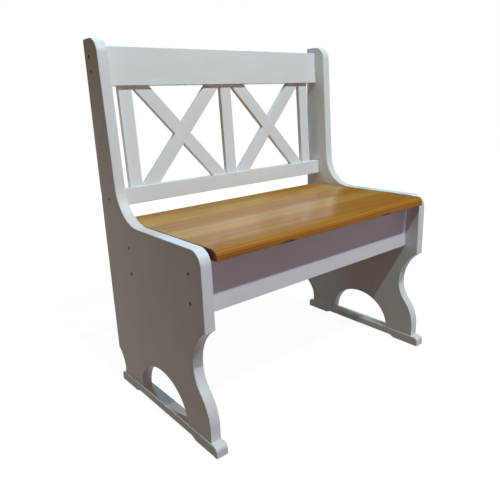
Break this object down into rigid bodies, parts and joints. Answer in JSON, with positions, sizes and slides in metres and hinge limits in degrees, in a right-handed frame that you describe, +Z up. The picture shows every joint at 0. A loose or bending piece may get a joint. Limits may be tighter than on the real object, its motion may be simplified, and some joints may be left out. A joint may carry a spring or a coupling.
{
  "type": "pine bench",
  "caption": "High-backed bench with shaped painted plank ends on foot runners, a raked back of stiles and half-lapped cross bars, deep aprons and an oiled stave seat.",
  "frame": {"origin": "on the floor under the middle of the bench's box", "axes": "+X to the sitter-facing viewer's right along the seat, +Y from the front of the seat to the back, +Z up"},
  "size_m": [0.787, 0.4634, 0.902],
  "materials": {
    "white_paint": "satin white paint on pine",
    "oiled_pine": "honey-coloured oil, semi-gloss",
    "bare_pine": "planed and unfinished",
    "screw_steel": "dark plated countersunk screws"
  },
  "bodies": {
    "root": {"left_side_panel": "white_paint", "right_side_panel": "white_paint", "left_foot_runner": "white_paint", "right_foot_runner": "white_paint", "back_top_rail": "white_paint", "back_lower_rail": "white_paint", "back_left_stile": "white_paint", "back_centre_stile": "white_paint", "back_right_stile": "white_paint", "back_left_rising_bar": "white_paint", "back_left_falling_bar": "white_paint", "back_right_rising_bar": "white_paint", "back_right_falling_bar": "white_paint", "front_apron": "white_paint", "rear_apron": "white_paint", "seat_nosing_stave": "oiled_pine", "seat_stave_2": "oiled_pine", "seat_stave_3": "oiled_pine", "seat_stave_4": "oiled_pine", "seat_stave_5": "oiled_pine", "seat_stave_6": "oiled_pine", "front_seat_cleat": "bare_pine", "rear_seat_cleat": "bare_pine", "left_panel_screw_1": "screw_steel", "left_panel_screw_2": "screw_steel", "left_panel_screw_3": "screw_steel", "left_panel_screw_4": "screw_steel", "left_panel_screw_5": "screw_steel", "left_panel_screw_6": "screw_steel", "left_panel_screw_7": "screw_steel", "right_panel_screw_1": "screw_steel", "right_panel_screw_2": "screw_steel", "right_panel_screw_3": "screw_steel", "right_panel_screw_4": "screw_steel", "right_panel_screw_5": "screw_steel", "right_panel_screw_6": "screw_steel", "right_panel_screw_7": "screw_steel", "left_runner_screw_1": "screw_steel", "left_runner_screw_2": "screw_steel", "left_runner_screw_3": "screw_steel", "left_runner_screw_4": "screw_steel", "right_runner_screw_1": "screw_steel", "right_runner_screw_2": "screw_steel", "right_runner_screw_3": "screw_steel", "right_runner_screw_4": "screw_steel", "seat_cleat_screw_1": "screw_steel", "seat_cleat_screw_2": "screw_steel", "seat_cleat_screw_3": "screw_steel", "seat_cleat_screw_4": "screw_steel", "seat_cleat_screw_5": "screw_steel", "seat_cleat_screw_6": "screw_steel", "seat_cleat_screw_7": "screw_steel", "seat_cleat_screw_8": "screw_steel", "seat_cleat_screw_9": "screw_steel", "seat_cleat_screw_10": "screw_steel"}
  },
  "joints": []
}
